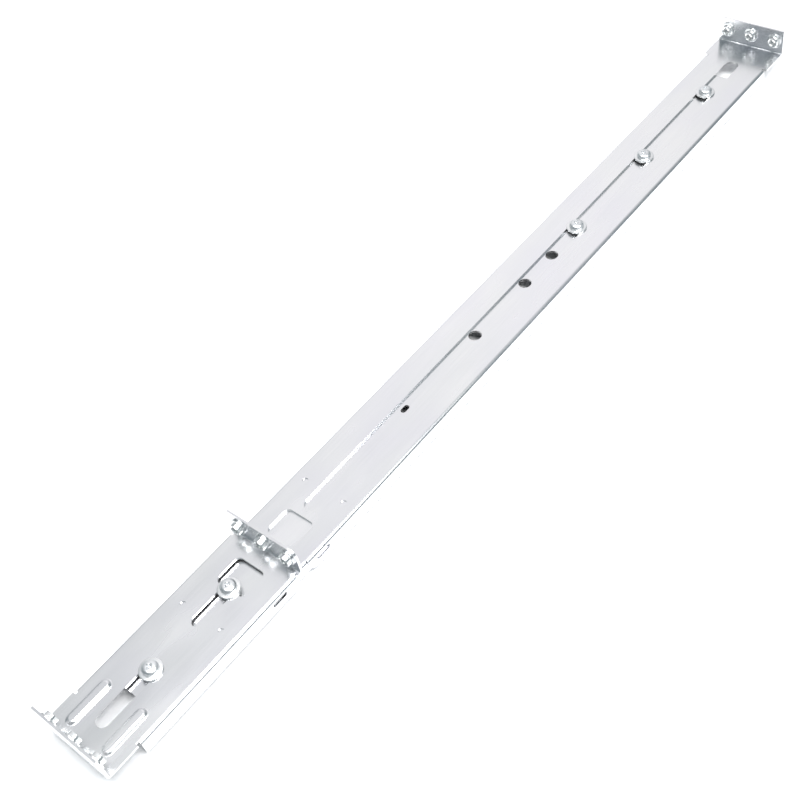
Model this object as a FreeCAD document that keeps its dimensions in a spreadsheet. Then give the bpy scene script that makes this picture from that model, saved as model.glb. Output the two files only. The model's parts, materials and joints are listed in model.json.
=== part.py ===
import FreeCAD, Part
import math
import os

import Sketcher

# Sliding server rail: two sheet-steel brackets that telescope on a C-shaped slide channel.
#
# Millimetres. +X runs from the front mounting flange to the rear one, +Z is away from the open
# side of the channel, and the origin is the middle of the footprint that the rail rests on.
# Every body is drawn in one local frame: x = 0 is the front mounting face, y = 0 the centre
# line and z = 0 the top of the front bracket's web. One placement carries all of them.

V = FreeCAD.Vector

# Millimetres and degrees
SIZES = [
    ("overall_length", 584.0),  # front mounting face to rear mounting face, closed up
    ("sheet", 1.2),  # thickness of every sheet part
    ("bend", 1.0),  # inside radius of every bend
    ("slide_gap", 0.05),  # working gap between webs, spacers and washers that slide
    ("side_gap", 0.15),  # gap between nested side walls
    ("relief", 1.5),  # length of the bend relief between a neck and the side walls
    ("flange_width", 43.6),  # width of the front and rear flanges and of their necks
    ("flange_top", 14.2),  # top of the flanges above the front web
    ("flange_round", 0.4),  # corner radius of the flanges
    ("hole_height", 6.9),  # mounting holes above the front web
    ("hole_pitch", 15.875),  # rack hole pitch, three holes in one rack unit
    ("front_width", 44.4),  # front bracket over its side walls, and its middle flange
    ("front_depth", 8.5),  # front bracket's side walls below the top of its web
    ("front_neck", 17.5),  # front neck, from the mounting face
    ("middle_face", 121.6),  # rear face of the middle flange
    ("root_flat", 0.8),  # flat between the middle flange's bend and its relief
    ("middle_round", 5.0),  # large corner radius of the middle flange
    ("rib_start", 6.0),  # front end of the stiffening ribs
    ("rib_length", 25.0),  # ribs, end to end
    ("rib_width", 6.0),  # ribs, across
    ("rib_rise", 1.2),  # ribs above the web
    ("rib_offset", 12.0),  # ribs from the centre line
    ("rib_slope", 45.0),  # flanks of the ribs off the upright, in degrees
    ("rib_crest", 1.2),  # radius along the crest of the ribs
    ("rib_foot", 0.8),  # radius along the foot of the ribs
    ("front_slot", 7.2),  # width of the front bracket's clamp slots
    ("front_slot_start", 13.0),  # front end of the first clamp slot
    ("front_slot_play", 1.8),  # first slot past the front clamp screw
    ("second_slot_lead", 23.0),  # second slot ahead of the window
    ("window_length", 16.0),  # windows, along the rail
    ("window_width", 18.0),  # windows, across the rail
    ("window_round", 3.0),  # corner radius of the windows
    ("front_window", 94.5),  # front edge of the front bracket's window
    ("dimple_offset", 12.6),  # locating dimples from the centre line
    ("dimple_size", 3.0),  # diameter of the dimples
    ("dimple_depth", 0.5),  # depth of the dimples
    ("front_dimples", 77.0),  # dimples of the front bracket, from the mounting face
    ("side_slot_length", 9.0),  # slots in the side walls, beside the windows
    ("side_slot_height", 2.6),  # height of the side-wall slots
    ("side_slot_drop", 3.3),  # middle of the side-wall slots below the web's top
    ("front_slot_shift", 2.7),  # front bracket's side slots behind its window's middle
    ("rear_lap", 7.6),  # rear bracket's tongue under the middle flange
    ("rear_walls", 127.0),  # front end of the rear bracket's side walls
    ("rear_depth", 8.0),  # rear bracket's side walls below the top of its web
    ("rear_round", 4.0),  # rounded ends of the rear bracket's side walls
    ("rear_neck", 20.5),  # rear neck, to the mounting face
    ("rear_window", 128.5),  # front edge of the rear bracket's window
    ("rear_dimples", 161.5),  # dimples of the rear bracket, from the front face
    ("rear_slot", 8.6),  # width of the rear bracket's long slot
    ("rear_slot_start", 148.5),  # front end of the long slot
    ("rear_slot_margin", 21.5),  # long slot's rear end ahead of the rear face
    ("rail_depth", 11.0),  # underside of the channel below the front web's top
    ("channel_front", 33.0),  # front end of the slide channel
    ("channel_margin", 37.5),  # channel's rear end ahead of the rear face
    ("channel_lip", 5.2),  # channel's inward lips, from the outside of the wall
    ("front_screw", 45.2),  # front clamp screw, from the front face
    ("middle_screw", 95.0),  # middle clamp screw, from the front face
    ("last_screw_margin", 21.0),  # last rear clamp screw ahead of the channel's end
    ("screw_pitch", 72.0),  # rear clamp screws, one to the next
    ("spare_near", 25.1),  # nearest spare hole ahead of the first rear screw
    ("spare_middle", 51.2),  # middle spare hole ahead of the first rear screw
    ("spare_far", 97.3),  # farthest spare hole ahead of the first rear screw
    ("tab_hole", 157.3),  # small slot ahead of the first rear screw
    ("tab_hole_length", 5.5),  # small slot in the channel, along the rail
    ("tab_hole_width", 3.0),  # small slot in the channel, across the rail
    ("screw_size", 4.0),  # clamp screw thread, outside
    ("head_size", 8.0),  # clamp screw head, across
    ("head_height", 2.6),  # clamp screw head, height
    ("head_round", 1.3),  # clamp screw head, radius round the crown
    ("recess_length", 4.4),  # cross recess, tip to tip
    ("recess_width", 1.0),  # cross recess, width of an arm
    ("recess_depth", 1.5),  # cross recess, depth
    ("washer_lap", 1.4),  # washer's bearing on each side of the long slot
    ("washer_height", 1.0),  # washer, thickness
    ("washer_gap", 0.2),  # washer and spacer round the screw
    ("spacer_size", 8.8),  # spacer, across
    ("nut_hole", 7.2),  # clinch nut holes in the channel, also the spare holes
    ("nut_lap", 1.1),  # clinch nut's collar round its hole
    ("nut_height", 2.2),  # clinch nut below the channel's web
    ("thread_gap", 0.05),  # clinch nut's bore round the screw
    ("press_gap", 0.02),  # clinched shanks in their holes
    ("insert_hole", 6.4),  # flange holes that carry the threaded inserts
    ("insert_bore", 4.2),  # threaded bore of the inserts
    ("insert_collar", 9.0),  # insert collar, across
    ("collar_height", 1.0),  # insert collar, height
    ("insert_barrel", 6.6),  # insert barrel, across
    ("barrel_height", 2.2),  # insert barrel beyond the collar
]

doc = FreeCAD.newDocument("server_rail")
sheet = doc.addObject("Spreadsheet::Sheet", "sizes")
for row, (alias, number) in enumerate(SIZES, start=1):
    sheet.set(f"A{row}", str(number))
    sheet.setAlias(f"A{row}", alias)
doc.recompute()

# Heights that follow from the stack of webs
REAR_TOP = "(-sizes.sheet - sizes.slide_gap)"
CHANNEL_TOP = f"({REAR_TOP} * 2)"
CHANNEL_UNDER = f"({CHANNEL_TOP} - sizes.sheet)"
# Half widths, from the outermost wall inwards
FRONT_HALF = "(sizes.front_width / 2)"
REAR_HALF = f"({FRONT_HALF} - sizes.sheet - sizes.side_gap)"
CHANNEL_HALF = f"({REAR_HALF} - sizes.sheet - sizes.side_gap)"
FLANGE_HALF = "(sizes.flange_width / 2)"
OUTER_BEND = "(sizes.bend + sizes.sheet)"
# Stations along the rail
MIDDLE_ROOT = f"(sizes.middle_face - {OUTER_BEND} - sizes.root_flat)"
CHANNEL_REAR = "(sizes.overall_length - sizes.channel_margin)"
FIRST_REAR_SCREW = f"({CHANNEL_REAR} - sizes.last_screw_margin - 2 * sizes.screw_pitch)"
WASHER_SIZE = "(sizes.rear_slot + 2 * sizes.washer_lap)"

sub_parts = []


def value(text):
    """The number that an expression on the sizes gives now."""
    return float(sheet.evalExpression(text.replace("sizes.", "")))


def new_body(label):
    """An empty body in the common placement, listed for export."""
    body = doc.addObject("PartDesign::Body", label)
    body.Label = label
    body.setExpression("Placement.Base.x", "-sizes.overall_length / 2")
    body.setExpression("Placement.Base.z", "sizes.rail_depth")
    sub_parts.append(body)
    return body


def sketch_on(body, name, role, offset="0"):
    """A sketch on one of the body's own origin planes, moved along the plane's normal."""
    sketch = body.newObject("Sketcher::SketchObject", f"{body.Label}_{name}")
    plane = next(item for item in body.Origin.OriginFeatures if item.Role == role)
    sketch.AttachmentSupport = [(plane, "")]
    sketch.MapMode = "FlatFace"
    sketch.setExpression("AttachmentOffset.Base.z", offset)
    return sketch


def pin(sketch, kind, geometry, point, text):
    """Holds one coordinate of a point at an expression, measured from the sketch's origin."""
    constraint = Sketcher.Constraint(kind, -1, 1, geometry, point, value(text))
    index = sketch.addConstraint(constraint)
    sketch.setExpression(f"Constraints[{index}]", text)


def size_arc(sketch, geometry, text):
    """Binds the radius of a circle or arc to an expression."""
    index = sketch.addConstraint(Sketcher.Constraint("Radius", geometry, value(text)))
    sketch.setExpression(f"Constraints[{index}]", text)


def add_polygon(sketch, corners):
    """A closed outline through corners, each a pair of expressions."""
    spots = [V(value(across), value(up), 0) for across, up in corners]
    count = len(corners)
    first = sketch.GeometryCount
    for index in range(count):
        sketch.addGeometry(Part.LineSegment(spots[index], spots[(index + 1) % count]))
    for index in range(count):
        following = first + (index + 1) % count
        sketch.addConstraint(Sketcher.Constraint("Coincident", first + index, 2, following, 1))
    for index, (across, up) in enumerate(corners):
        pin(sketch, "DistanceX", first + index, 1, across)
        pin(sketch, "DistanceY", first + index, 1, up)


def add_rectangle(sketch, left, right, low, high):
    """A rectangle between four expressions."""
    add_polygon(sketch, [(left, low), (right, low), (right, high), (left, high)])


def add_circle(sketch, across, up, radius):
    """A circle placed and sized by expressions."""
    centre = V(value(across), value(up), 0)
    index = sketch.addGeometry(Part.Circle(centre, V(0, 0, 1), value(radius)))
    pin(sketch, "DistanceX", index, 3, across)
    pin(sketch, "DistanceY", index, 3, up)
    size_arc(sketch, index, radius)


def add_slot(sketch, start, end, middle, width):
    """A round-ended slot along the sketch's first axis."""
    radius = f"({width}) / 2"
    half = value(radius)
    near = V(value(start) + half, value(middle), 0)
    far = V(value(end) - half, value(middle), 0)
    rise = V(0, half, 0)
    normal = V(0, 0, 1)
    quarter = math.pi / 2
    shapes = [
        Part.ArcOfCircle(Part.Circle(near, normal, half), quarter, 3 * quarter),
        Part.LineSegment(near - rise, far - rise),
        Part.ArcOfCircle(Part.Circle(far, normal, half), -quarter, quarter),
        Part.LineSegment(far + rise, near + rise),
    ]
    first = sketch.GeometryCount
    for shape in shapes:
        sketch.addGeometry(shape)
    for index in range(4):
        following = first + (index + 1) % 4
        sketch.addConstraint(Sketcher.Constraint("Tangent", first + index, 2, following, 1))
    pin(sketch, "DistanceX", first, 3, f"{start} + {radius}")
    pin(sketch, "DistanceY", first, 3, middle)
    pin(sketch, "DistanceX", first + 2, 3, f"{end} - {radius}")
    pin(sketch, "DistanceY", first + 2, 3, middle)
    size_arc(sketch, first, radius)


def pad(body, sketch, length, towards=1):
    """Material along the sketch's normal, or against it."""
    feature = body.newObject("PartDesign::Pad", sketch.Name + "_pad")
    feature.Profile = sketch
    feature.Reversed = towards < 0
    feature.setExpression("Length", length)
    doc.recompute()


def cut(body, sketch, length=None, towards=-1):
    """A cut along the sketch's normal or against it, or through everything both ways."""
    volume = body.Shape.Volume
    feature = body.newObject("PartDesign::Pocket", sketch.Name + "_cut")
    feature.Profile = sketch
    if length is None:
        feature.Type = "ThroughAll"
        feature.Midplane = True
    else:
        feature.Reversed = towards > 0
        feature.setExpression("Length", length)
    doc.recompute()
    if body.Shape.Volume >= volume:
        raise RuntimeError(f"{feature.Name} removed nothing")


def edges_at(body, direction, spots):
    """Names of the straight edges along a direction whose middles match the given spots.

    A spot gives the number that a coordinate has, and None where any will do.
    """
    names = []
    for index, edge in enumerate(body.Shape.Edges, start=1):
        if not isinstance(edge.Curve, Part.Line):
            continue
        if edge.Curve.Direction.cross(direction).Length > 1e-6:
            continue
        middle = body.Placement.inverse().multVec(edge.valueAt(
            (edge.FirstParameter + edge.LastParameter) / 2))
        for spot in spots:
            pairs = zip(middle, spot)
            if all(want is None or abs(have - want) < 1e-3 for have, want in pairs):
                names.append(f"Edge{index}")
                break
    if not names:
        raise RuntimeError(f"no edge found on {body.Label}")
    return names


def edges_level(body, height, left, right, rear):
    """Names of the edges that lie at one height, between two widths and ahead of a station."""
    names = []
    for index, edge in enumerate(body.Shape.Edges, start=1):
        centre = body.Placement.inverse().multVec(edge.CenterOfMass)
        level = abs(centre.z - height) < 1e-3
        if level and right < centre.y < left and centre.x < rear:
            names.append(f"Edge{index}")
    return names


def round_edges(body, name, edges, radius):
    """A fillet of one radius on the named edges."""
    base = body.Tip
    feature = body.newObject("PartDesign::Fillet", f"{body.Label}_{name}")
    feature.Base = (base, edges)
    feature.setExpression("Radius", radius)
    doc.recompute()
    if "Invalid" in feature.State or body.Shape.Volume < base.Shape.Volume / 2:
        raise RuntimeError(f"{feature.Name} failed")


def both_sides(half, height):
    """The two spots at plus and minus a half width, at one height."""
    return [(None, value(half), value(height)), (None, -value(half), value(height))]


def add_walls(body, half, top, start, end, depth):
    """Bent side walls: a block with the inside taken out, rounded inside and out."""
    block = sketch_on(body, "walls", "XY_Plane", top)
    add_rectangle(block, start, end, f"-{half}", half)
    pad(body, block, depth, towards=-1)
    inside = sketch_on(body, "inside", "XY_Plane", f"{top} - sizes.sheet")
    inner = f"({half} - sizes.sheet)"
    add_rectangle(inside, start, end, f"-{inner}", inner)
    cut(body, inside, depth)
    along = V(1, 0, 0)
    outer_edges = edges_at(body, along, both_sides(half, top))
    round_edges(body, "outer_bends", outer_edges, OUTER_BEND)
    inner_edges = edges_at(body, along, both_sides(inner, f"{top} - sizes.sheet"))
    round_edges(body, "inner_bends", inner_edges, "sizes.bend")


def add_flange(body, name, half, top, outer, inner):
    """An upright flange bent up from the web; outer and inner are the stations of its faces."""
    plate = sketch_on(body, name, "XY_Plane", top)
    add_rectangle(plate, outer, inner, f"-{half}", half)
    pad(body, plate, f"sizes.flange_top - {top}")
    across = V(0, 1, 0)
    inner_edge = edges_at(body, across, [(value(inner), None, value(top))])
    round_edges(body, f"{name}_inner_bend", inner_edge, "sizes.bend")
    under = f"{top} - sizes.sheet"
    outer_edge = edges_at(body, across, [(value(outer), None, value(under))])
    round_edges(body, f"{name}_outer_bend", outer_edge, OUTER_BEND)


def add_window(body, start, top):
    """A rectangular window with rounded corners through the web."""
    end = f"{start} + sizes.window_length"
    half = "sizes.window_width / 2"
    opening = sketch_on(body, "window", "XY_Plane", top)
    add_rectangle(opening, start, end, f"-{half}", half)
    cut(body, opening, "sizes.sheet")
    height = value(f"{top} - sizes.sheet / 2")
    corners = []
    for station in (start, end):
        for side in (1, -1):
            corners.append((value(station), side * value(half), height))
    edges = edges_at(body, V(0, 0, 1), corners)
    round_edges(body, "window_corners", edges, "sizes.window_round")


def add_dimples(body, station, top):
    """A pair of shallow locating dimples astride the centre line."""
    marks = sketch_on(body, "dimples", "XY_Plane", top)
    for side in ("", "-"):
        add_circle(marks, station, f"{side}sizes.dimple_offset", "sizes.dimple_size / 2")
    cut(body, marks, "sizes.dimple_depth")


def add_side_slots(body, middle, top):
    """A slot in each side wall, close under its bend."""
    half = "sizes.side_slot_length / 2"
    slots = sketch_on(body, "side_slots", "XZ_Plane")
    drop = f"{top} - sizes.side_slot_drop"
    add_slot(slots, f"{middle} - {half}", f"{middle} + {half}", drop, "sizes.side_slot_height")
    cut(body, slots)


def add_insert_holes(body):
    """Three holes at the rack pitch through every flange of the body."""
    holes = sketch_on(body, "flange_holes", "YZ_Plane")
    for across in ("-sizes.hole_pitch", "0", "sizes.hole_pitch"):
        add_circle(holes, across, "sizes.hole_height", "sizes.insert_hole / 2")
    cut(body, holes)


def round_corners(body, name, face, half, sides, radius):
    """Rounds top corners of the flange with a face at a station; sides are 1, -1 or both."""
    spots = [(value(face), side * value(half), value("sizes.flange_top")) for side in sides]
    round_edges(body, name, edges_at(body, V(1, 0, 0), spots), radius)


def add_ribs(body):
    """Two embossed ribs beside the first slot: raised on top, hollow underneath."""
    end = "(sizes.rib_start + sizes.rib_length)"
    ribs = [("left_rib", ""), ("right_rib", "-")]
    for name, side in ribs:
        middle = f"{side}sizes.rib_offset"
        bead = sketch_on(body, name, "XY_Plane")
        add_slot(bead, "sizes.rib_start", end, middle, "sizes.rib_width")
        pad(body, bead, "sizes.rib_rise")
        body.Tip.setExpression("TaperAngle", "-sizes.rib_slope")
        hollow = sketch_on(body, f"{name}_hollow", "XY_Plane", "-sizes.sheet")
        add_slot(hollow, "sizes.rib_start + sizes.sheet", f"{end} - sizes.sheet", middle,
                 "sizes.rib_width - 2 * sizes.sheet")
        cut(body, hollow, "sizes.rib_rise", towards=1)
    reach = value("sizes.rib_width / 2 + sizes.rib_foot")
    rear = value(f"{end} + sizes.rib_foot")
    roundings = [
        ("crest", "sizes.rib_rise", "sizes.rib_crest"),
        ("foot", "0", "sizes.rib_foot"),
    ]
    for part, height, radius in roundings:
        for name, side in ribs:
            middle = value(f"{side}sizes.rib_offset")
            edges = edges_level(body, value(height), middle + reach, middle - reach, rear)
            round_edges(body, f"{name}_{part}", edges, radius)


def build_front_bracket():
    """The widest channel: front flange, ribs, clamp slots, window and middle flange."""
    body = new_body("front_bracket")
    flat_half = f"({FRONT_HALF} - {OUTER_BEND})"
    web = sketch_on(body, "web", "XY_Plane")
    add_rectangle(web, "sizes.front_neck", "sizes.middle_face", f"-{flat_half}", flat_half)
    pad(body, web, "sizes.sheet", towards=-1)
    add_walls(body, FRONT_HALF, "0", "sizes.front_neck + sizes.relief",
              f"{MIDDLE_ROOT} - sizes.relief", "sizes.front_depth")
    neck = sketch_on(body, "neck", "XY_Plane")
    add_rectangle(neck, "0", "sizes.front_neck", f"-{FLANGE_HALF}", FLANGE_HALF)
    pad(body, neck, "sizes.sheet", towards=-1)
    root = sketch_on(body, "middle_root", "XY_Plane")
    add_rectangle(root, MIDDLE_ROOT, "sizes.middle_face", f"-{FRONT_HALF}", FRONT_HALF)
    pad(body, root, "sizes.sheet", towards=-1)
    add_flange(body, "front_flange", FLANGE_HALF, "0", "0", "sizes.sheet")
    add_flange(body, "middle_flange", FRONT_HALF, "0", "sizes.middle_face",
               "sizes.middle_face - sizes.sheet")
    add_ribs(body)

    slots = sketch_on(body, "clamp_slots", "XY_Plane")
    slot_end = "sizes.front_screw + sizes.screw_size / 2 + sizes.front_slot_play"
    add_slot(slots, "sizes.front_slot_start", slot_end, "0", "sizes.front_slot")
    second_start = "sizes.front_window - sizes.second_slot_lead"
    second_end = "sizes.front_window + sizes.front_slot / 2"
    add_slot(slots, second_start, second_end, "0", "sizes.front_slot")
    cut(body, slots, "sizes.sheet")
    add_window(body, "sizes.front_window", "0")
    add_dimples(body, "sizes.front_dimples", "0")
    slot_middle = "(sizes.front_window + sizes.window_length / 2 + sizes.front_slot_shift)"
    add_side_slots(body, slot_middle, "0")
    add_insert_holes(body)

    front_station = "sizes.sheet / 2"
    middle_station = "sizes.middle_face - sizes.sheet / 2"
    corner = "sizes.flange_round"
    round_corners(body, "front_corners", front_station, FLANGE_HALF, (1, -1), corner)
    round_corners(body, "middle_corner", middle_station, FRONT_HALF, (1,), corner)
    round_corners(body, "middle_sweep", middle_station, FRONT_HALF, (-1,), "sizes.middle_round")


def build_rear_bracket():
    """The long channel that slides out to reach the rear posts of the rack."""
    body = new_body("rear_bracket")
    face = "sizes.overall_length"
    neck_start = f"({face} - sizes.rear_neck)"
    flat_half = f"({REAR_HALF} - {OUTER_BEND})"
    web = sketch_on(body, "web", "XY_Plane", REAR_TOP)
    web_start = "sizes.middle_face - sizes.rear_lap"
    add_rectangle(web, web_start, neck_start, f"-{flat_half}", flat_half)
    pad(body, web, "sizes.sheet", towards=-1)
    neck = sketch_on(body, "neck", "XY_Plane", REAR_TOP)
    add_rectangle(neck, neck_start, face, f"-{FLANGE_HALF}", FLANGE_HALF)
    pad(body, neck, "sizes.sheet", towards=-1)
    add_walls(body, REAR_HALF, REAR_TOP, "sizes.rear_walls", f"{neck_start} - sizes.relief",
              "sizes.rear_depth")
    add_flange(body, "rear_flange", FLANGE_HALF, REAR_TOP, face, f"{face} - sizes.sheet")

    slot = sketch_on(body, "long_slot", "XY_Plane", REAR_TOP)
    add_slot(slot, "sizes.rear_slot_start", f"{face} - sizes.rear_slot_margin", "0",
             "sizes.rear_slot")
    cut(body, slot, "sizes.sheet")
    add_window(body, "sizes.rear_window", REAR_TOP)
    add_dimples(body, "sizes.rear_dimples", REAR_TOP)
    add_side_slots(body, "(sizes.rear_window + sizes.window_length / 2)", REAR_TOP)
    add_insert_holes(body)

    rear_station = f"{face} - sizes.sheet / 2"
    round_corners(body, "rear_corners", rear_station, FLANGE_HALF, (1, -1), "sizes.flange_round")
    wall_foot = value(f"{REAR_TOP} - sizes.rear_depth")
    wall_ends = [value("sizes.rear_walls"), value(f"{neck_start} - sizes.relief")]
    spots = [(station, None, wall_foot) for station in wall_ends]
    round_edges(body, "wall_ends", edges_at(body, V(0, 1, 0), spots), "sizes.rear_round")


def clamp_stations():
    """Every clamp screw: name, station along the rail and the web that its washer bears on."""
    stations = [
        ("front_clamp", "sizes.front_screw", "0"),
        ("middle_clamp", "sizes.middle_screw", "0"),
    ]
    for number in range(3):
        station = f"({FIRST_REAR_SCREW} + {number} * sizes.screw_pitch)"
        stations.append((f"rear_clamp_{number + 1}", station, REAR_TOP))
    return stations


def build_slide_channel():
    """The C-shaped channel that the server's own slide runs in, with its clinch nut holes."""
    body = new_body("slide_channel")
    length = f"{CHANNEL_REAR} - sizes.channel_front"
    block = sketch_on(body, "block", "XY_Plane", CHANNEL_TOP)
    add_rectangle(block, "sizes.channel_front", CHANNEL_REAR, f"-{CHANNEL_HALF}", CHANNEL_HALF)
    pad(body, block, f"sizes.rail_depth + {CHANNEL_TOP}", towards=-1)

    inner = f"({CHANNEL_HALF} - sizes.sheet)"
    lip_top = "(-sizes.rail_depth + sizes.sheet)"
    hollow = sketch_on(body, "hollow", "YZ_Plane", "sizes.channel_front")
    add_rectangle(hollow, f"-{inner}", inner, lip_top, CHANNEL_UNDER)
    cut(body, hollow, length, towards=1)
    mouth_half = f"({CHANNEL_HALF} - sizes.channel_lip)"
    mouth = sketch_on(body, "mouth", "YZ_Plane", "sizes.channel_front")
    add_rectangle(mouth, f"-{mouth_half}", mouth_half, "-sizes.rail_depth", lip_top)
    cut(body, mouth, length, towards=1)

    along = V(1, 0, 0)
    outer = both_sides(CHANNEL_HALF, CHANNEL_TOP) + both_sides(CHANNEL_HALF, "-sizes.rail_depth")
    round_edges(body, "outer_bends", edges_at(body, along, outer), OUTER_BEND)
    inside = both_sides(inner, CHANNEL_UNDER) + both_sides(inner, lip_top)
    round_edges(body, "inner_bends", edges_at(body, along, inside), "sizes.bend")

    stations = [station for name, station, seat in clamp_stations()]
    for ahead in ("sizes.spare_near", "sizes.spare_middle", "sizes.spare_far"):
        stations.append(f"{FIRST_REAR_SCREW} - {ahead}")
    holes = sketch_on(body, "nut_holes", "XY_Plane", CHANNEL_TOP)
    for station in stations:
        add_circle(holes, station, "0", "sizes.nut_hole / 2")
    tab = f"({FIRST_REAR_SCREW} - sizes.tab_hole)"
    half = "sizes.tab_hole_length / 2"
    add_slot(holes, f"{tab} - {half}", f"{tab} + {half}", "0", "sizes.tab_hole_width")
    cut(body, holes, "sizes.sheet")


def revolve_about(body, name, station, across, corners, axis):
    """A turned piece: an outline of (radius, height) pairs spun about an axis of the body.

    Upright pieces stand on the plane XZ, and pieces that lie along the rail on the plane XY.
    """
    upright = axis == "upright"
    sketch = body.newObject("Sketcher::SketchObject", f"{body.Label}_{name}")
    role = "XZ_Plane" if upright else "XY_Plane"
    plane = next(item for item in body.Origin.OriginFeatures if item.Role == role)
    sketch.AttachmentSupport = [(plane, "")]
    sketch.MapMode = "FlatFace"
    if upright:
        sketch.setExpression("AttachmentOffset.Base.x", station)
        add_polygon(sketch, corners)
    else:
        sketch.setExpression("AttachmentOffset.Base.y", across)
        sketch.setExpression("AttachmentOffset.Base.z", "sizes.hole_height")
        add_polygon(sketch, [(height, radius) for radius, height in corners])
    feature = body.newObject("PartDesign::Revolution", f"{body.Label}_{name}_turn")
    feature.Profile = sketch
    feature.ReferenceAxis = (sketch, ["V_Axis" if upright else "H_Axis"])
    feature.Angle = 360
    doc.recompute()


def build_screw(name, station, seat):
    """A pan-head screw with a cross recess, from its washer down to the nut's underside."""
    body = new_body(f"{name}_screw")
    under = f"({seat} + sizes.slide_gap + sizes.washer_height)"
    crown = f"({under} + sizes.head_height)"
    foot = f"({CHANNEL_UNDER} - sizes.nut_height)"
    head = "sizes.head_size / 2"
    shank = "sizes.screw_size / 2"
    corners = [
        ("0", foot), (shank, foot), (shank, under), (head, under), (head, crown), ("0", crown),
    ]
    revolve_about(body, "profile", station, "0", corners, "upright")
    rim = value(head)
    rear = value(f"{station} + {head}")
    round_edges(body, "pan", edges_level(body, value(crown), rim, -rim, rear), "sizes.head_round")
    arm = sketch_on(body, "recess", "XY_Plane", crown)
    half_length = "sizes.recess_length / 2"
    half_width = "sizes.recess_width / 2"
    outline = [
        (half_length, half_width), (half_width, half_width), (half_width, half_length),
        (f"-{half_width}", half_length), (f"-{half_width}", half_width),
        (f"-{half_length}", half_width), (f"-{half_length}", f"-{half_width}"),
        (f"-{half_width}", f"-{half_width}"), (f"-{half_width}", f"-{half_length}"),
        (half_width, f"-{half_length}"), (half_width, f"-{half_width}"),
        (half_length, f"-{half_width}"),
    ]
    add_polygon(arm, [(f"{station} + {across}", up) for across, up in outline])
    cut(body, arm, "sizes.recess_depth")


def build_ring(label, station, low, high, outer, inner):
    """A flat ring round a clamp screw."""
    body = new_body(label)
    corners = [(inner, low), (outer, low), (outer, high), (inner, high)]
    revolve_about(body, "profile", station, "0", corners, "upright")


def build_clinch_nut(name, station):
    """A self-clinching nut: its shank fills the channel's hole and its collar lies below."""
    body = new_body(f"{name}_nut")
    bore = "(sizes.screw_size / 2 + sizes.thread_gap)"
    shank = "(sizes.nut_hole / 2 - sizes.press_gap)"
    collar = "(sizes.nut_hole / 2 + sizes.nut_lap)"
    foot = f"({CHANNEL_UNDER} - sizes.nut_height)"
    corners = [
        (bore, foot), (collar, foot), (collar, CHANNEL_UNDER),
        (shank, CHANNEL_UNDER), (shank, CHANNEL_TOP), (bore, CHANNEL_TOP),
    ]
    revolve_about(body, "profile", station, "0", corners, "upright")


def build_clamps():
    """Screw, washer and clinch nut at every clamp, and a spacer where only the channel is under."""
    gap_half = "(sizes.screw_size / 2 + sizes.washer_gap)"
    for name, station, seat in clamp_stations():
        build_screw(name, station, seat)
        low = f"({seat} + sizes.slide_gap)"
        build_ring(f"{name}_washer", station, low, f"{low} + sizes.washer_height",
                   f"{WASHER_SIZE} / 2", gap_half)
        build_clinch_nut(name, station)
        if seat == "0":
            build_ring(f"{name}_spacer", station, CHANNEL_TOP, REAR_TOP,
                       "sizes.spacer_size / 2", gap_half)


def build_insert(label, face, inward, across):
    """A threaded insert clinched into a flange, its collar and barrel on the inner face."""
    body = new_body(label)
    bore = "sizes.insert_bore / 2"
    shank = "(sizes.insert_hole / 2 - sizes.press_gap)"
    collar = "sizes.insert_collar / 2"
    barrel = "sizes.insert_barrel / 2"
    seat = f"({face} {inward} sizes.sheet)"
    step = f"({seat} {inward} sizes.collar_height)"
    end = f"({step} {inward} sizes.barrel_height)"
    corners = [
        (bore, face), (shank, face), (shank, seat), (collar, seat),
        (collar, step), (barrel, step), (barrel, end), (bore, end),
    ]
    revolve_about(body, "profile", "0", across, corners, "lying")


def build_inserts():
    """Three inserts at the rack pitch on each of the three flanges."""
    flanges = [
        ("front", "0", "+"),
        ("middle", "sizes.middle_face", "-"),
        ("rear", "sizes.overall_length", "-"),
    ]
    places = [("left", "sizes.hole_pitch"), ("centre", "0"), ("right", "-sizes.hole_pitch")]
    for flange, face, inward in flanges:
        for place, across in places:
            build_insert(f"{flange}_insert_{place}", face, inward, across)


def check_document():
    """Stops if any object failed or any sub-part has no sound solid."""
    doc.recompute()
    for item in doc.Objects:
        if "Invalid" in item.State or "Error" in item.State:
            raise RuntimeError(f"{item.Name} failed: {item.State}")
    for body in sub_parts:
        if body.Shape.isNull() or not body.Shape.isValid() or len(body.Shape.Solids) != 1:
            raise RuntimeError(f"{body.Label} is not one sound solid")


build_slide_channel()
build_front_bracket()
build_rear_bracket()
build_clamps()
build_inserts()
check_document()
os.makedirs("parts", exist_ok=True)
for body in sub_parts:
    body.Shape.exportStep(f"parts/{body.Label}.step")
    print(f"{body.Label}: {body.Shape.Volume:.1f} mm3")
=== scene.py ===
import json
import math

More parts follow.
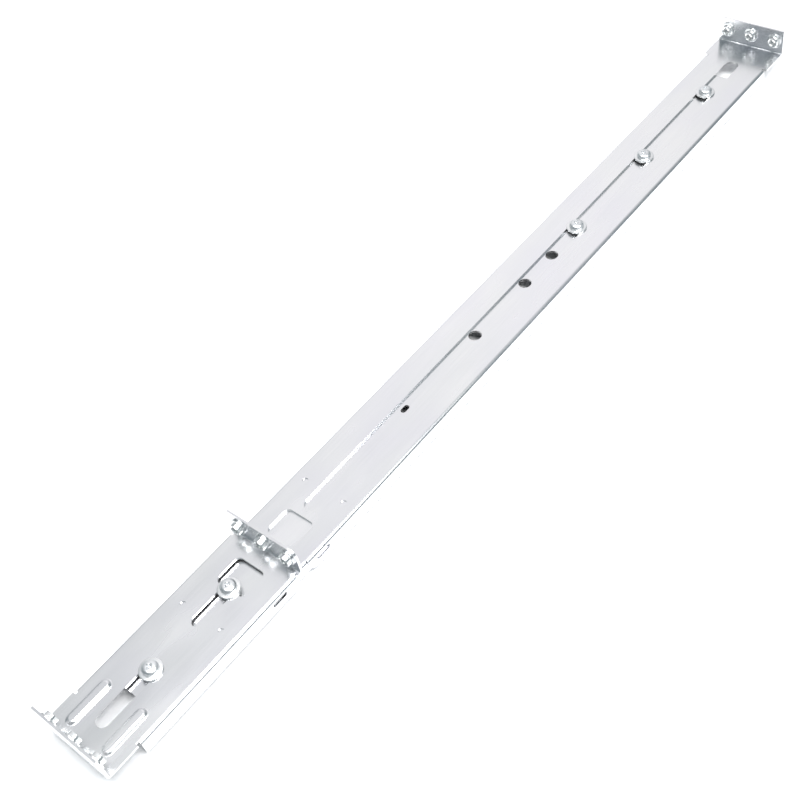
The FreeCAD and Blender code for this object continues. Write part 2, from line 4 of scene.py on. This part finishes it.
import bpy
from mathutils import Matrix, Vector


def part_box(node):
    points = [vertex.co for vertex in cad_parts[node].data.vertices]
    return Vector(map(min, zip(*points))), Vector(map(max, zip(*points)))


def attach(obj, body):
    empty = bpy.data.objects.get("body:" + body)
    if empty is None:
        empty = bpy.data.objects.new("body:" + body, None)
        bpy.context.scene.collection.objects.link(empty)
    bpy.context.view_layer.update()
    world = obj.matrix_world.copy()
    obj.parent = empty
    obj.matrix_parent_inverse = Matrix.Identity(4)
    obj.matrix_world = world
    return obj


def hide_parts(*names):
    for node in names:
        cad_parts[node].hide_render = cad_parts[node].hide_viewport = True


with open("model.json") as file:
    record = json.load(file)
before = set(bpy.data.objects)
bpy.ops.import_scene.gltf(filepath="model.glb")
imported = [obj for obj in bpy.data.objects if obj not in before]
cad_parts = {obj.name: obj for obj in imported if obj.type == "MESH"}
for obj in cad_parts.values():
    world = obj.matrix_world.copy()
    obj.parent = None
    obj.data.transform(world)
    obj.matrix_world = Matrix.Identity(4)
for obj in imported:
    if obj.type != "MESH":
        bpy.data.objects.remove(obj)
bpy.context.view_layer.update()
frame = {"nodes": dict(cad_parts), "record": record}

# Lengths are in metres, as the frame's are; MM turns a millimetre into one.
MM = 0.001

BODIES = frame["record"]["behaviour"]["bodies"]

# Sizes of the small parts that their boxes in the frame don't give
SHEET = 1.2 * MM
HEAD_HEIGHT = 2.6 * MM
HEAD_RIM = 1.1 * MM
HEAD_ROUND = 2.4 * MM
RECESS_LENGTH = 4.4 * MM
RECESS_WIDTH = 1.1 * MM
RECESS_DEPTH = 1.6 * MM
M4_RADIUS = 2.0 * MM
TIP_CHAMFER = 0.4 * MM
THREAD_RUNOUT = 0.6 * MM
MOUTH_CHAMFER = 0.4 * MM
THREAD_PITCH_M4 = 0.7 * MM
THREAD_PITCH_M5 = 0.8 * MM
WASHER_BORE = 4.4 * MM
INSERT_SHANK = 6.36 * MM
INSERT_BORE = 4.2 * MM
COLLAR_HEIGHT = 1.0 * MM
BARREL = 6.6 * MM

# Straight sides that stand for a full turn, and more of them on the wide washers
TURNED_SIDES = 48
WASHER_SIDES = 64

# How tightly the studio's brightness gathers about its brightest direction, and its strength
STUDIO_BRIGHTEST = (0.60, 0.55, 0.58)
STUDIO_FALLOFF = 4.4
STUDIO_STRENGTH = 1.2

# The camera looks down along the rail from beyond its front right corner.
CAMERA_PLACE = (-0.3288, -0.2969, 0.4497)
CAMERA_TURN = (41.57, 8.89, -50.99)
CAMERA_LENS = 52.45
CAMERA_SENSOR = 36.0


# --------------------------------------------------------------------------
# Colours and shader nodes
# --------------------------------------------------------------------------

def linear(hex_colour, alpha=1.0):
    """An sRGB colour such as "#c8cacd" as the linear numbers that a shader takes."""
    channels = []
    for start in (1, 3, 5):
        value = int(hex_colour[start:start + 2], 16) / 255
        if value <= 0.04045:
            value = value / 12.92
        else:
            value = ((value + 0.055) / 1.055) ** 2.4
        channels.append(value)
    return (*channels, alpha)


def add_node(tree, kind, settings=None, inputs=None):
    """Adds a shader node. settings are its own properties; inputs are values or sockets to link."""
    node = tree.nodes.new(kind)
    for name, value in (settings or {}).items():
        setattr(node, name, value)
    for name, value in (inputs or {}).items():
        if isinstance(value, bpy.types.NodeSocket):
            tree.links.new(value, node.inputs[name])
        else:
            node.inputs[name].default_value = value
    return node


def new_material(name):
    """An empty node material, its tree and its output node."""
    material = bpy.data.materials.new(name)
    material.use_nodes = True
    material.node_tree.nodes.clear()
    output = add_node(material.node_tree, "ShaderNodeOutputMaterial")
    return material, material.node_tree, output


def edge_wear(tree, radius):
    """1 along the edges of a piece and 0 on its faces, where handling rubs the plating bright."""
    bevel = add_node(tree, "ShaderNodeBevel", {"samples": 4}, {"Radius": radius})
    geometry = add_node(tree, "ShaderNodeNewGeometry")
    facing = add_node(tree, "ShaderNodeVectorMath", {"operation": "DOT_PRODUCT"}, {
        0: bevel.outputs["Normal"],
        1: geometry.outputs["Normal"],
    })
    wear = add_node(tree, "ShaderNodeMapRange", {}, {
        "Value": facing.outputs["Value"],
        "From Min": 0.80,
        "From Max": 0.99,
        "To Min": 1.0,
        "To Max": 0.0,
    })
    return wear.outputs["Result"]


def zinc_plated_sheet(name):
    """Cold-rolled sheet steel with clear zinc plating, as on the brackets and the channel."""
    material, tree, output = new_material(name)
    place = add_node(tree, "ShaderNodeTexCoord").outputs["Object"]

    # Rolling stretches the plating's pale and darker clouds along the sheet.
    cloud_place = add_node(tree, "ShaderNodeMapping", {}, {
        "Vector": place,
        "Scale": (1 / (60 * MM), 1 / (18 * MM), 1 / (18 * MM)),
    })
    clouds = add_node(tree, "ShaderNodeTexNoise", {}, {
        "Vector": cloud_place.outputs["Vector"],
        "Scale": 1.0,
        "Detail": 3.0,
    })
    # The clear passivation leaves a faint lilac bloom in some places and none in others.
    bloom_place = add_node(tree, "ShaderNodeMapping", {}, {
        "Vector": place,
        "Scale": (1 / (35 * MM), 1 / (26 * MM), 1 / (26 * MM)),
    })
    bloom = add_node(tree, "ShaderNodeTexNoise", {}, {
        "Vector": bloom_place.outputs["Vector"],
        "Scale": 1.0,
        "Detail": 1.0,
    })
    # The real rolling grain is about 0.2 mm wide; it is drawn at 0.8 mm so that it shows.
    grain_place = add_node(tree, "ShaderNodeMapping", {}, {
        "Vector": place,
        "Scale": (1 / (24 * MM), 1 / (0.8 * MM), 1 / (0.8 * MM)),
    })
    grain = add_node(tree, "ShaderNodeTexNoise", {}, {
        "Vector": grain_place.outputs["Vector"],
        "Scale": 1.0,
        "Detail": 4.0,
    })
    # Zinc crystals are some hundredths of a millimetre; drawn at 1 mm, they break up the mirror.
    crystals = add_node(tree, "ShaderNodeTexNoise", {}, {
        "Vector": place,
        "Scale": 1 / (1.0 * MM),
        "Detail": 2.0,
    })

    cloud_amount = add_node(tree, "ShaderNodeMapRange", {}, {
        "Value": clouds.outputs["Fac"],
        "From Min": 0.3,
        "From Max": 0.7,
    })
    plating = add_node(tree, "ShaderNodeMix", {"data_type": "RGBA"}, {
        0: cloud_amount.outputs["Result"],
        6: linear("#e8e9ea"),
        7: linear("#efefef"),
    })
    bloom_amount = add_node(tree, "ShaderNodeMapRange", {}, {
        "Value": bloom.outputs["Fac"],
        "From Min": 0.35,
        "From Max": 0.75,
        "To Max": 0.35,
    })
    bloomed = add_node(tree, "ShaderNodeMix", {"data_type": "RGBA"}, {
        0: bloom_amount.outputs["Result"],
        6: plating.outputs[2],
        7: linear("#e5e3ed"),
    })
    grain_amount = add_node(tree, "ShaderNodeMapRange", {}, {
        "Value": grain.outputs["Fac"],
        "From Min": 0.3,
        "From Max": 0.7,
        "To Max": 0.08,
    })
    grained = add_node(tree, "ShaderNodeMix", {"data_type": "RGBA"}, {
        0: grain_amount.outputs["Result"],
        6: bloomed.outputs[2],
        7: linear("#b9bec2"),
    })
    # The plating rubs off the sheared edges first and leaves them brighter.
    worn = add_node(tree, "ShaderNodeMix", {"data_type": "RGBA"}, {
        0: edge_wear(tree, 0.35 * MM),
        6: grained.outputs[2],
        7: linear("#f0f0ee"),
    })
    # Duller clouds scatter a little more, so the sheet mirrors softly and unevenly.
    roughness = add_node(tree, "ShaderNodeMapRange", {}, {
        "Value": clouds.outputs["Fac"],
        "From Min": 0.3,
        "From Max": 0.7,
        "To Min": 0.22,
        "To Max": 0.29,
    })
    grain_relief = add_node(tree, "ShaderNodeBump", {}, {
        "Height": grain.outputs["Fac"],
        "Strength": 0.06,
        "Distance": 0.02 * MM,
    })
    relief = add_node(tree, "ShaderNodeBump", {}, {
        "Height": crystals.outputs["Fac"],
        "Strength": 0.08,
        "Distance": 0.02 * MM,
        "Normal": grain_relief.outputs["Normal"],
    })
    shader = add_node(tree, "ShaderNodeBsdfPrincipled", {}, {
        "Base Color": worn.outputs[2],
        "Metallic": 1.0,
        "Roughness": roughness.outputs["Result"],
        "Normal": relief.outputs["Normal"],
    })
    tree.links.new(shader.outputs["BSDF"], output.inputs["Surface"])
    return material


def zinc_plated_fastener(name, light, dark, roughness):
    """Turned or headed steel with clear zinc plating: brighter than sheet, with fine tool marks."""
    material, tree, output = new_material(name)
    place = add_node(tree, "ShaderNodeTexCoord").outputs["Object"]
    # Patches as wide as half a screw head, where the plating is thinner
    clouds = add_node(tree, "ShaderNodeTexNoise", {}, {
        "Vector": place,
        "Scale": 1 / (2.5 * MM),
        "Detail": 2.0,
    })
    # Marks of the heading tool, drawn at half a millimetre so that they show
    marks = add_node(tree, "ShaderNodeTexNoise", {}, {
        "Vector": place,
        "Scale": 1 / (0.5 * MM),
        "Detail": 3.0,
    })
    plating = add_node(tree, "ShaderNodeMix", {"data_type": "RGBA"}, {
        0: clouds.outputs["Fac"],
        6: linear(light),
        7: linear(dark),
    })
    worn = add_node(tree, "ShaderNodeMix", {"data_type": "RGBA"}, {
        0: edge_wear(tree, 0.2 * MM),
        6: plating.outputs[2],
        7: linear("#f4f3f0"),
    })
    shine = add_node(tree, "ShaderNodeMapRange", {}, {
        "Value": marks.outputs["Fac"],
        "From Min": 0.3,
        "From Max": 0.7,
        "To Min": roughness - 0.05,
        "To Max": roughness + 0.05,
    })
    relief = add_node(tree, "ShaderNodeBump", {}, {
        "Height": marks.outputs["Fac"],
        "Strength": 0.15,
        "Distance": 0.02 * MM,
    })
    shader = add_node(tree, "ShaderNodeBsdfPrincipled", {}, {
        "Base Color": worn.outputs[2],
        "Metallic": 1.0,
        "Roughness": shine.outputs["Result"],
        "Normal": relief.outputs["Normal"],
    })
    tree.links.new(shader.outputs["BSDF"], output.inputs["Surface"])
    return material


def matt_paper(name):
    """White background paper under the rail: without gloss, and even but for a faint mottle."""
    material, tree, output = new_material(name)
    place = add_node(tree, "ShaderNodeTexCoord").outputs["Object"]
    mottle = add_node(tree, "ShaderNodeTexNoise", {}, {"Vector": place, "Scale": 1 / (90 * MM)})
    paper = add_node(tree, "ShaderNodeMix", {"data_type": "RGBA"}, {
        0: mottle.outputs["Fac"],
        6: linear("#fcfcfc"),
        7: linear("#fafafb"),
    })
    shader = add_node(tree, "ShaderNodeBsdfPrincipled", {}, {
        "Base Color": paper.outputs[2],
        "Roughness": 0.9,
        "Specular IOR Level": 0.1,
    })
    tree.links.new(shader.outputs["BSDF"], output.inputs["Surface"])
    return material


def set_material(piece, material):
    """Gives a whole piece one material."""
    piece.data.materials.clear()
    piece.data.materials.append(material)


# --------------------------------------------------------------------------
# Turned pieces: each is built upright at the world's origin, then copied to its places
# --------------------------------------------------------------------------

def select_only(piece):
    """Makes one object the selected and active one."""
    bpy.ops.object.select_all(action="DESELECT")
    piece.select_set(True)
    bpy.context.view_layer.objects.active = piece


def apply_modifier(piece, name):
    """Turns a modifier's result into the piece's own mesh."""
    select_only(piece)
    bpy.ops.object.modifier_apply(modifier=name)


def turn_piece(name, outline, sides=TURNED_SIDES):
    """Extrudes a circle through an outline of (radius, height) rings.

    An outline that comes back to its first ring makes a ring; any other is capped at both ends.
    """
    bpy.ops.object.select_all(action="DESELECT")
    radius, height = outline[0]
    bpy.ops.mesh.primitive_circle_add(vertices=sides, radius=radius, location=(0, 0, height))
    piece = bpy.context.object
    piece.name = name
    bpy.ops.object.mode_set(mode="EDIT")
    bpy.ops.mesh.select_all(action="SELECT")
    for next_radius, next_height in outline[1:]:
        rise = {"value": (0, 0, next_height - height)}
        bpy.ops.mesh.extrude_edges_move(TRANSFORM_OT_translate=rise)
        ratio = next_radius / radius
        bpy.ops.transform.resize(value=(ratio, ratio, 1), center_override=(0, 0, next_height))
        radius, height = next_radius, next_height
    bpy.ops.mesh.select_all(action="SELECT")
    bpy.ops.mesh.remove_doubles(threshold=0.001 * MM)
    bpy.ops.mesh.fill_holes(sides=0)
    bpy.ops.mesh.normals_make_consistent(inside=False)
    bpy.ops.object.mode_set(mode="OBJECT")
    bpy.ops.object.transform_apply(location=True, rotation=True, scale=True)
    return piece


def soften_edges(piece, width):
    """Breaks the sharp edges of a piece and shades its curved faces smooth."""
    bevel = piece.modifiers.new("broken_edges", "BEVEL")
    bevel.width = width
    bevel.segments = 2
    bevel.limit_method = "ANGLE"
    bevel.angle_limit = math.radians(35)
    apply_modifier(piece, bevel.name)
    bpy.ops.object.shade_smooth_by_angle(angle=math.radians(40))


def add_thread(piece, radius, low, high, pitch):
    """Winds a thread's ridge round the Z axis at a radius and joins it to the piece."""
    bpy.ops.object.select_all(action="DESELECT")
    bpy.ops.mesh.primitive_circle_add(
        vertices=4, radius=0.4 * pitch, location=(radius, 0, low), rotation=(math.pi / 2, 0, 0))
    ridge = bpy.context.object
    bpy.ops.object.transform_apply(location=True, rotation=True, scale=True)
    winding = ridge.modifiers.new("winding", "SCREW")
    winding.screw_offset = pitch
    winding.iterations = int((high - low) / pitch)
    winding.steps = 32
    winding.render_steps = 32
    apply_modifier(ridge, winding.name)
    bpy.ops.object.mode_set(mode="EDIT")
    bpy.ops.mesh.select_all(action="SELECT")
    bpy.ops.mesh.fill_holes(sides=4)
    bpy.ops.mesh.normals_make_consistent(inside=False)
    bpy.ops.object.mode_set(mode="OBJECT")
    piece.select_set(True)
    bpy.context.view_layer.objects.active = piece
    bpy.ops.object.join()


def cut_cross_recess(piece, crown, length, width, depth):
    """Cuts a cross recess, narrowing towards its bottom, into the top of a screw head."""
    for turn in (0, math.pi / 2):
        bpy.ops.object.select_all(action="DESELECT")
        bpy.ops.mesh.primitive_cube_add(size=1, location=(0, 0, crown), rotation=(0, 0, turn),
                                        scale=(length, width, 2 * depth))
        cutter = bpy.context.object
        bpy.ops.object.mode_set(mode="EDIT")
        bpy.ops.mesh.select_all(action="DESELECT")
        bpy.ops.object.mode_set(mode="OBJECT")
        for vertex in cutter.data.vertices:
            vertex.select = vertex.co.z < 0
        bpy.ops.object.mode_set(mode="EDIT")
        bpy.ops.transform.resize(value=(0.45, 0.45, 1), center_override=(0, 0, crown))
        bpy.ops.object.mode_set(mode="OBJECT")
        recess = piece.modifiers.new("recess", "BOOLEAN")
        recess.operation = "DIFFERENCE"
        recess.object = cutter
        apply_modifier(piece, recess.name)
        bpy.data.objects.remove(cutter)


def place_copy(master, node, place, turn):
    """Puts a copy of a master piece, with a mesh of its own, in the place of a frame node."""
    piece = master.copy()
    piece.data = master.data.copy()
    piece.name = f"{node}_detailed"
    bpy.context.collection.objects.link(piece)
    piece.location = place
    piece.rotation_euler = turn
    select_only(piece)
    bpy.ops.object.transform_apply(location=True, rotation=True, scale=True)
    body = next(name for name, nodes in BODIES.items() if node in nodes)
    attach(piece, body)
    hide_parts(node)


def upright_place(node):
    """The point under the middle of a node, at the node's own foot."""
    low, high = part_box(node)
    return ((low[0] + high[0]) / 2, (low[1] + high[1]) / 2, low[2])


def nodes_ending(ending):
    """Names of the frame's nodes with one ending."""
    return sorted(name for name in frame["nodes"] if name.endswith(ending))


def make_screw(length, head, material):
    """A pan-head M4 screw with a cross recess, its tip at the origin."""
    core = M4_RADIUS - 0.4 * THREAD_PITCH_M4
    under = length - HEAD_HEIGHT
    outline = [(core - TIP_CHAMFER, 0), (core, TIP_CHAMFER), (core, under), (head / 2, under)]
    round_steps = 8
    for step in range(round_steps + 1):
        angle = step / round_steps * math.pi / 2
        radius = head / 2 - HEAD_ROUND * (1 - math.cos(angle))
        height = under + HEAD_RIM + (HEAD_HEIGHT - HEAD_RIM) * math.sin(angle)
        outline.append((radius, height))
    screw = turn_piece("screw_master", outline)
    cut_cross_recess(screw, length, RECESS_LENGTH, RECESS_WIDTH, RECESS_DEPTH)
    soften_edges(screw, 0.08 * MM)
    add_thread(screw, core, THREAD_RUNOUT, under - THREAD_RUNOUT, THREAD_PITCH_M4)
    set_material(screw, material)
    return screw


def add_screws(material):
    """Detailed clamp screws in the place of the plain ones."""
    for node in nodes_ending("_screw"):
        low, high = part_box(node)
        master = make_screw(high[2] - low[2], high[0] - low[0], material)
        place_copy(master, node, upright_place(node), (0, 0, 0))
        bpy.data.objects.remove(master)


def add_washers(material):
    """Washers with broken edges under the screw heads."""
    nodes = nodes_ending("_washer")
    low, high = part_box(nodes[0])
    outer = (high[0] - low[0]) / 2
    inner = WASHER_BORE / 2
    top = high[2] - low[2]
    washer = turn_piece("washer_master", [
        (inner, 0), (outer, 0), (outer, top), (inner, top), (inner, 0),
    ], sides=WASHER_SIDES)
    soften_edges(washer, 0.3 * MM)
    set_material(washer, material)
    for node in nodes:
        place_copy(washer, node, upright_place(node), (0, 0, 0))
    bpy.data.objects.remove(washer)


def add_inserts(material):
    """Threaded clinch inserts with chamfered mouths in the flanges."""
    nodes = sorted(name for name in frame["nodes"] if "_insert_" in name)
    low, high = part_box(nodes[0])
    collar = (high[2] - low[2]) / 2
    end = high[0] - low[0]
    shank = INSERT_SHANK / 2
    bore = INSERT_BORE / 2
    barrel = BARREL / 2
    step = SHEET + COLLAR_HEIGHT
    mouth = MOUTH_CHAMFER
    insert = turn_piece("insert_master", [
        (bore + mouth, 0), (shank, 0), (shank, SHEET), (collar, SHEET), (collar, step),
        (barrel, step), (barrel, end), (bore + mouth, end), (bore, end - mouth), (bore, mouth),
        (bore + mouth, 0),
    ])
    soften_edges(insert, 0.15 * MM)
    add_thread(insert, bore, mouth, end - mouth, THREAD_PITCH_M5)
    set_material(insert, material)
    for node in nodes:
        low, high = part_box(node)
        faces_front = node.startswith("front")
        station = low[0] if faces_front else high[0]
        turn = math.pi / 2 if faces_front else -math.pi / 2
        place = (station, (low[1] + high[1]) / 2, (low[2] + high[2]) / 2)
        place_copy(insert, node, place, (0, turn, 0))
    bpy.data.objects.remove(insert)


def finish_pieces():
    """Gives every piece of the rail the finish of the real one."""
    sheet = zinc_plated_sheet("zinc_plated_sheet_steel")
    screw = zinc_plated_fastener("zinc_plated_screw", "#ecedee", "#dcdfe1", 0.34)
    washer = zinc_plated_fastener("zinc_plated_washer", "#efefef", "#e2e4e5", 0.34)
    insert = zinc_plated_fastener("zinc_plated_clinch_insert", "#e9eaea", "#d9dcdd", 0.26)
    for name, piece in frame["nodes"].items():
        if name.endswith("_screw"):
            set_material(piece, screw)
        elif name.endswith(("_washer", "_spacer")):
            set_material(piece, washer)
        elif name.endswith("_nut") or "_insert_" in name:
            set_material(piece, insert)
        else:
            set_material(piece, sheet)
    add_screws(screw)
    add_washers(washer)
    add_inserts(insert)


# --------------------------------------------------------------------------
# Floor, light and camera
# --------------------------------------------------------------------------

def add_floor():
    """A wide sheet of white paper that the rail lies on."""
    bpy.ops.object.select_all(action="DESELECT")
    bpy.ops.mesh.primitive_plane_add(size=8.0, location=(0, 0, 0))
    floor = bpy.context.object
    floor.name = "floor"
    set_material(floor, matt_paper("matt_background_paper"))


def add_surroundings():
    """A studio, bright beyond the rail's far end and dim and faintly teal elsewhere."""
    world = bpy.data.worlds.new("studio")
    bpy.context.scene.world = world
    world.use_nodes = True
    tree = world.node_tree
    tree.nodes.clear()
    output = add_node(tree, "ShaderNodeOutputWorld")
    direction = add_node(tree, "ShaderNodeTexCoord").outputs["Generated"]
    towards = add_node(tree, "ShaderNodeVectorMath", {"operation": "DOT_PRODUCT"}, {
        0: direction,
        1: Vector(STUDIO_BRIGHTEST),
    })
    ahead = add_node(tree, "ShaderNodeMath", {"operation": "MAXIMUM"}, {
        0: towards.outputs["Value"],
        1: 0.0,
    })
    nearness = add_node(tree, "ShaderNodeMath", {"operation": "POWER"}, {
        0: ahead.outputs["Value"],
        1: STUDIO_FALLOFF,
    })
    colour = add_node(tree, "ShaderNodeMix", {"data_type": "RGBA"}, {
        0: nearness.outputs["Value"],
        6: linear("#757f83"),
        7: linear("#f6f5f7"),
    })
    background = add_node(tree, "ShaderNodeBackground", {}, {
        "Color": colour.outputs[2],
        "Strength": STUDIO_STRENGTH,
    })
    tree.links.new(background.outputs["Background"], output.inputs["Surface"])


def add_soft_light(name, place, size, power):
    """A square soft box that points at the middle of the rail."""
    bpy.ops.object.light_add(type="AREA", location=place)
    light = bpy.context.object
    light.name = name
    light.data.size = size
    light.data.energy = power
    light.rotation_euler = (-Vector(place)).to_track_quat("-Z", "Y").to_euler()


def add_lights():
    """Two soft boxes, one over the rail and one on its near side."""
    add_soft_light("overhead_soft_box", (-0.25, 0.0, 1.6), 0.8, 21)
    add_soft_light("near_soft_box", (0.0, -0.85, 1.35), 0.8, 23)


def add_camera():
    """The camera at the real one's place and angle."""
    turn = tuple(math.radians(angle) for angle in CAMERA_TURN)
    bpy.ops.object.camera_add(location=CAMERA_PLACE, rotation=turn)
    camera = bpy.context.object
    camera.data.lens = CAMERA_LENS
    camera.data.sensor_width = CAMERA_SENSOR
    camera.data.clip_start = 0.01
    bpy.context.scene.camera = camera


finish_pieces()
add_floor()
add_surroundings()
add_lights()
add_camera()
bpy.context.scene.view_settings.view_transform = "Standard"
